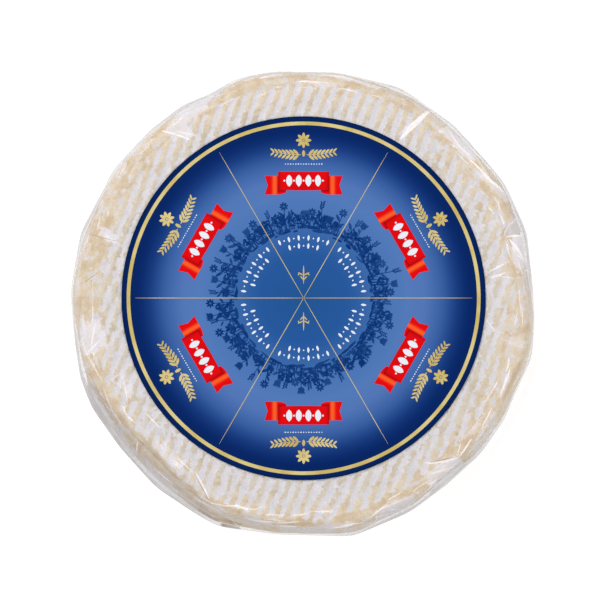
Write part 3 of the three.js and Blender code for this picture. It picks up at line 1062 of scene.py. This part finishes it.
# Leaves on each side of a spindle: place across and out, half width, half length, lean
# in degrees and how pointed the leaf is
SPINDLE_LEAVES = (
    (2.3, 0.6, 0.5, 2.4, 62, 0.4), (1.5, -2.4, 0.45, 1.9, 40, 0.4), (3.9, 0.2, 0.45, 0.9, -20, 0),
)
gold = new_pile()
ring_parts = []
for radius, level in ((RING_INSIDE, -1), (RING_OUTSIDE, -1), (RING_OUTSIDE, 2), (RING_INSIDE, 2)):
    ring_parts.append(label_ring(radius * MM, paper_level + level * INK))
add_bar(gold, np.stack(ring_parts, axis=1), joined=True)
for wedge in WEDGES:
    for part in range(3):
        line = [(0, LINE_PLACES[part]), (0, LINE_PLACES[part + 1])]
        line = stroke(line, LINE_WIDTHS[part], LINE_WIDTHS[part + 1])
        add_shape(gold, wedge + math.pi / 6, line, 2)
    for outline in petals(0, ROSETTE_OUT, 3.5, 1.25, 2.5, 0.3):
        add_shape(gold, wedge, outline, 2)
    add_shape(gold, wedge, oval(0, ROSETTE_OUT, 0.9, 0.9), 2)
    add_shape(gold, wedge, oval(0, BUD_OUT, 1.3, 2.6, 0, 0.3, 8), 2)
    for side in (-1, 1):
        stem = []
        for share in np.arange(STEM_STEPS + 1) / STEM_STEPS:
            across = side * (STEM_START + STEM_LENGTH * share)
            stem.append((across, SPRIG_OUT + STEM_RISE * share ** 2))
        add_shape(gold, wedge, stroke(stem, 0.7, 0.35), 2)
        for share in np.arange(LEAF_PAIRS) / (LEAF_PAIRS - 1):
            size = LEAF_LENGTH - LEAF_SHRINK * share
            across = side * (LEAF_START + LEAF_SPREAD * share + 0.65 * size)
            for lift in (-1, 1):
                lean = side * (90 - lift * LEAF_LEAN)
                out = SPRIG_OUT + LEAF_RISE * share ** 2 + lift * 0.75 * size
                add_shape(gold, wedge, oval(across, out, 0.36 * size, size, lean, 0.5), 2)
for wedge in (WEDGES[1], WEDGES[4]):
    add_shape(gold, wedge, oval(0, SPINDLE_OUT, 0.55, 7.4, 0, 0.4), 2)
    for side in (-1, 1):
        for across, out, half_width, half_length, lean, tips in SPINDLE_LEAVES:
            leaf_place = (side * across, SPINDLE_OUT + out)
            leaf = oval(*leaf_place, half_width, half_length, side * lean, tips)
            add_shape(gold, wedge, leaf, 2)
print_gold = pile_piece("print_gold", gold)

GOLD_INK = srgb(200, 177, 100)
GOLD_PALE = srgb(220, 203, 141)
gold_material, tree, shader = new_material("gold_print")
glint = use_group(tree, mottle, {"Patch Size": 0.02, "Coverage": 0.5, "Edge": 0.2})
gold_colour = blend_colours(tree, glint.outputs[0], GOLD_INK, GOLD_PALE)
fill(tree, shader, {"Base Color": gold_colour})
finish_ink(tree, shader, 0.36)
finish_print(print_gold, gold_material)

# Red print: a folded ribbon across each wedge, shaded by its own print. The tails end
# in notches and lie under the panel in the middle. Sizes in millimetres; the shades of
# a tail, from its fold out to its notch, run from -1 dark to 1 glowing.
PANEL_HALF = 19.7
PANEL_LOW = 83.1
PANEL_HIGH = 97.3
PANEL_STEPS = 24
TAIL_END = 29.9
TAIL_NOTCH = 27.6
TAIL_LOW = 79.7
TAIL_HIGH = 94.0
TAIL_SHADES = (
    (18.6, -0.5), (20.2, 0.25), (21.6, 0.85), (22.8, 0.8), (24.6, 0.2), (26, 0), (TAIL_NOTCH, 0),
)
CURL_START = 13.4
CURL_STEPS = 6


def add_band(pile, wedge, sections, layer):
    """Prints a band from sections across it: place, lower edge, upper edge, and how it
    is shaded along the lower and the upper edge, from -1 dark to 1 glowing."""
    rings = []
    values = []
    for across, low, high, low_shade, high_shade in sections:
        rings.append([
            on_label(wedge, across, low, paper_level - INK),
            on_label(wedge, across, low, paper_level + layer * INK),
            on_label(wedge, across, high, paper_level + layer * INK),
            on_label(wedge, across, high, paper_level - INK),
        ])
        values.append([low_shade, low_shade, high_shade, high_shade])
    add_bar(pile, rings, np.array(values))


red = new_pile()
notch_out = (TAIL_LOW + TAIL_HIGH) / 2
for wedge in WEDGES:
    for side in (-1, 1):
        tail = [(side * across, TAIL_LOW, TAIL_HIGH, shade, shade) for across, shade in TAIL_SHADES]
        add_band(red, wedge, tail, 1)
        for far, near in ((TAIL_LOW, TAIL_LOW - 0.1), (TAIL_HIGH, TAIL_HIGH + 0.1)):
            notch = (side * TAIL_NOTCH, notch_out, far, 0, 0)
            add_band(red, wedge, [notch, (side * TAIL_END, near, near + 0.05, 0, 0)], 1)
        curl = []
        for share in np.arange(CURL_STEPS + 1) / CURL_STEPS:
            across = CURL_START + (PANEL_HALF - CURL_START) * share
            low = TAIL_LOW + 1.6 * (1 - share) ** 2
            curl.append((side * across, low, PANEL_LOW + 0.3, 0.1 + 0.3 * share, -1))
        add_band(red, wedge, curl, 1.5)
    panel = []
    for share in np.linspace(-1, 1, PANEL_STEPS + 1):
        shade = -0.6 * step_up(0.84, 1, abs(share)) - 0.15 * (1 - step_up(0.2, 0.7, abs(share)))
        low = PANEL_LOW - 0.2 * (1 - abs(share))
        panel.append((PANEL_HALF * share, low, PANEL_HIGH, shade - 0.15, shade))
    add_band(red, wedge, panel, 2.5)
print_ribbons = pile_piece("print_ribbons", red)
paint(print_ribbons, "shade", red["values"])

RED_INK = srgb(228, 8, 14)
ORANGE_SHEEN = srgb(253, 98, 40)
RED_SHADE = srgb(140, 6, 14)
red_material, tree, shader = new_material("red_print")
shade = painted(tree, "shade")
colour = blend_colours(tree, rise(tree, shade, 0.0, 1.0), RED_INK, ORANGE_SHEEN)
colour = blend_colours(tree, rise(tree, shade, 0.0, -1.0), colour, RED_SHADE)
fill(tree, shader, {"Base Color": colour})
finish_ink(tree, shader, 0.38)
finish_print(print_ribbons, red_material)

# White print: lozenges and beads on each ribbon, a row of fine dots above it, and two
# arcs of lozenges nearer the middle. White ink on the paper. Sizes in millimetres; an
# arc has its number of marks, its radius and half its spread in degrees.
LOZENGE_OUT = 90.4
LOZENGE_PITCH = 7.4
DOT_OUT = 103.2
DOT_PITCH = 2.0
ARCS = ((11, 46.4, 23.5), (7, 40.2, 15.5))
white_ink = new_pile()
for wedge in WEDGES:
    for number in range(4):
        lozenge = oval(LOZENGE_PITCH * (number - 1.5), LOZENGE_OUT, 2.4, 4.5, 0, 0.5, 16)
        add_shape(white_ink, wedge, lozenge, 3.5)
    for number in range(5):
        bead = oval(LOZENGE_PITCH * (number - 2), LOZENGE_OUT, 0.75, 0.75)
        add_shape(white_ink, wedge, bead, 3.5)
    for number in range(15):
        dot = oval(DOT_PITCH * (number - 7), DOT_OUT, 0.4 + 0.14 * (number % 3), 0.42)
        add_shape(white_ink, wedge, dot, 1)
    for count, radius, half_spread in ARCS:
        for number in range(count):
            turn = math.radians(half_spread) * (2 * number / (count - 1) - 1)
            if number % 2:
                mark = oval(0, radius, 0.6, 0.6, 0, 0, 10)
            else:
                mark = oval(0, radius, 0.9, 2.2, 0, 0.5)
            add_shape(white_ink, wedge - turn, mark, 1)
print_white = pile_piece("print_white", white_ink)

white_material, tree, shader = new_material("white_print")
shader.inputs["Base Color"].default_value = srgb(232, 238, 247)
finish_ink(tree, shader, 0.4)
finish_print(print_white, white_material)

# Meadow print: flowers, leafy tufts and grass in deep blue that stand all round the
# label on broken turf, drawn with a few simple shapes. Blue ink on the paper, with all
# its sizes in millimetres.
CLODS_IN_WEDGE = 22
BLADES_IN_WEDGE = 30
BUSHES_IN_WEDGE = 7
LEAVES_IN_BUSH = 26
STEMS_IN_WEDGE = 9
LEAVES_ON_STEM = 3
GROUND_OUT = 54
BUSH_OUT = 57.5
meadow = new_pile()
draws = np.random.default_rng(50)


def strewn(count, margin, spread):
    """Numbers and directions of plants strewn over a wedge, each in its own share."""
    for number in range(count):
        share = (number + draws.uniform(margin, 1 - margin)) / count
        yield number, math.radians(spread * (share - 0.5))


for wedge in WEDGES:
    for _, turn in strewn(CLODS_IN_WEDGE, 0, 60):
        out = draws.uniform(51.5, 58)
        clod = oval(0, out, draws.uniform(1.5, 5), draws.uniform(0.5, 1.5), draws.uniform(-12, 12))
        add_shape(meadow, wedge + turn, clod, 1, draws.uniform(0, 0.3))
    for _, turn in strewn(BLADES_IN_WEDGE, 0, 60):
        tall = draws.uniform(3, 8)
        lean = draws.uniform(-2.2, 2.2)
        blade = [(0, GROUND_OUT - 0.5), (0.3 * lean, GROUND_OUT + 0.5 * tall), (lean, GROUND_OUT + tall)]
        add_shape(meadow, wedge + turn, stroke(blade, 1.2, 0.15), 1, draws.uniform(0, 0.35))
    for _, turn in strewn(BUSHES_IN_WEDGE, 0.2, 58):
        wide = draws.uniform(2.5, 5.0)
        tall = draws.uniform(2.0, 5.5)
        for _ in range(LEAVES_IN_BUSH):
            angle = draws.uniform(0, FULL_TURN)
            reach_out = draws.uniform(0, 1) ** 0.5
            across = wide * reach_out * math.cos(angle)
            out = BUSH_OUT + tall * (1 + reach_out * math.sin(angle))
            size = draws.uniform(0.9, 1.7)
            leaf = oval(across, out, 0.55 * size, size, draws.uniform(0, 180), 0.3, 8)
            add_shape(meadow, wedge + turn, leaf, 1, draws.uniform(0, 0.15))
    for number, turn in strewn(STEMS_IN_WEDGE, 0.2, 58):
        tall = draws.uniform(8, 19)
        lean = draws.uniform(-2.5, 2.5)
        head = GROUND_OUT + 0.5 + tall
        stem = [(0, GROUND_OUT), (0.2 * lean, GROUND_OUT + 0.5 * tall), (lean, head)]
        add_shape(meadow, wedge + turn, stroke(stem, 0.8, 0.5), 1)
        tint = draws.uniform(0, 0.4)
        parts = []
        for leaf in range(LEAVES_ON_STEM):
            side = 1 if leaf % 2 else -1
            out = GROUND_OUT + 2.5 + tall * (0.16 + 0.22 * leaf)
            size = draws.uniform(2.2, 3.6)
            across = side * (0.8 * size) + 0.2 * lean
            parts.append(oval(across, out, 0.34 * size, size, side * 48, 0.5))
        kind = ("flower", "thistle", "ear")[number % 3]
        if kind == "flower":
            parts += petals(lean, head, 1.9, 0.78, 1.7, 0.2, 10)
        elif kind == "thistle":
            parts.append(oval(lean, head, 2.6, 2.2, 0, 0, 14))
            for bud in range(-2, 3):
                parts.append(oval(lean + 1.1 * bud, head + 1.9, 0.55, 1.5, 9 * bud))
        else:
            for grain in range(6):
                side = 1 if grain % 2 else -1
                parts.append(oval(lean + 0.9 * side, head - 1 + grain, 0.6, 1.5, side * 30, 0.4))
        for outline in parts:
            add_shape(meadow, wedge + turn, outline, 1, tint)
        if kind == "flower":
            add_shape(meadow, wedge + turn, oval(lean, head, 0.9, 0.9), 2, 1.0)
print_meadow = pile_piece("print_meadow", meadow)
paint(print_meadow, "tint", meadow["values"])

NAVY_INK = srgb(3, 49, 114)
NAVY_TINT = srgb(52, 98, 162)
navy_material, tree, shader = new_material("navy_print")
navy = blend_colours(tree, painted(tree, "tint"), NAVY_INK, NAVY_TINT)
fill(tree, shader, {"Base Color": navy})
finish_ink(tree, shader, 0.4)
finish_print(print_meadow, navy_material)

# Floor, light and camera: a white table, soft light from above, and the view straight
# down of a pack photographed for a catalogue. The photograph's own sizes are in pixels.
PHOTO_WIDTH = 600
PHOTO_LABEL_MIDDLE = (303.6, 298.0)
PHOTO_LABEL_RADIUS = 182.2
CAMERA_DISTANCE = 5.0
CAMERA_ELEVATION = math.radians(87)
SENSOR_WIDTH = 36.0
FLOOR_HALF = 3.0
FLOOR_GREY = 0.42
FLOOR_GLOW = 0.72
SKY_GLOW = 0.22
WHITE = (1, 1, 1, 1)

corners = [(x * FLOOR_HALF, y * FLOOR_HALF, 0) for x, y in ((-1, -1), (1, -1), (1, 1), (-1, 1))]
floor = mesh_piece("floor", corners, [(0, 1, 2, 3)], False)
floor_material, tree, shader = new_material("floor")
fill(tree, shader, {
    "Base Color": (FLOOR_GREY, FLOOR_GREY, FLOOR_GREY, 1),
    "Roughness": 0.9,
    "Specular IOR Level": 0.0,
    "Emission Color": WHITE,
    "Emission Strength": FLOOR_GLOW,
})
floor.data.materials.append(floor_material)
floor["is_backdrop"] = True

# Square softboxes that face the wheel: place and width in metres, and power in watts
SOFTBOXES = (
    ("key", (-0.9, 1.5, 1.9), 1.4, 39),
    ("fill", (1.6, -0.6, 1.7), 1.6, 26),
    ("left", (-1.7, -0.8, 1.3), 1.2, 11),
)
for name, spot, width, power in SOFTBOXES:
    lamp = bpy.data.lights.new(name, "AREA")
    lamp.shape = "SQUARE"
    lamp.size = width
    lamp.energy = power
    softbox = bpy.data.objects.new(name, lamp)
    softbox.location = spot
    softbox.rotation_euler = (-Vector(spot)).to_track_quat("-Z", "Y").to_euler()
    bpy.context.scene.collection.objects.link(softbox)

world = bpy.data.worlds.new("world")
world.use_nodes = True
fill(world.node_tree, world.node_tree.nodes["Background"], {0: WHITE, 1: SKY_GLOW})
bpy.context.scene.world = world
bpy.context.scene.view_settings.view_transform = "Standard"

metres_per_pixel = label_radius / PHOTO_LABEL_RADIUS
aim = Vector((
    label_middle.x - (PHOTO_LABEL_MIDDLE[0] - PHOTO_WIDTH / 2) * metres_per_pixel,
    label_middle.y + (PHOTO_LABEL_MIDDLE[1] - PHOTO_WIDTH / 2) * metres_per_pixel,
    label_high.z,
))
lens = bpy.data.cameras.new("camera")
lens.sensor_width = SENSOR_WIDTH
lens.lens = SENSOR_WIDTH * CAMERA_DISTANCE / (metres_per_pixel * PHOTO_WIDTH)
camera = bpy.data.objects.new("camera", lens)
back = Vector((0, -math.cos(CAMERA_ELEVATION), math.sin(CAMERA_ELEVATION)))
camera.location = aim + back * CAMERA_DISTANCE
camera.rotation_euler = (-back).to_track_quat("-Z", "Y").to_euler()
bpy.context.scene.collection.objects.link(camera)
bpy.context.scene.camera = camera

# Both boxes, for comparing the dressed wheel with the solids
visual_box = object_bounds()
boxes = {"cad": cad_box, "visual": visual_box}
{name: [list(corner) for corner in pair] for name, pair in boxes.items()}
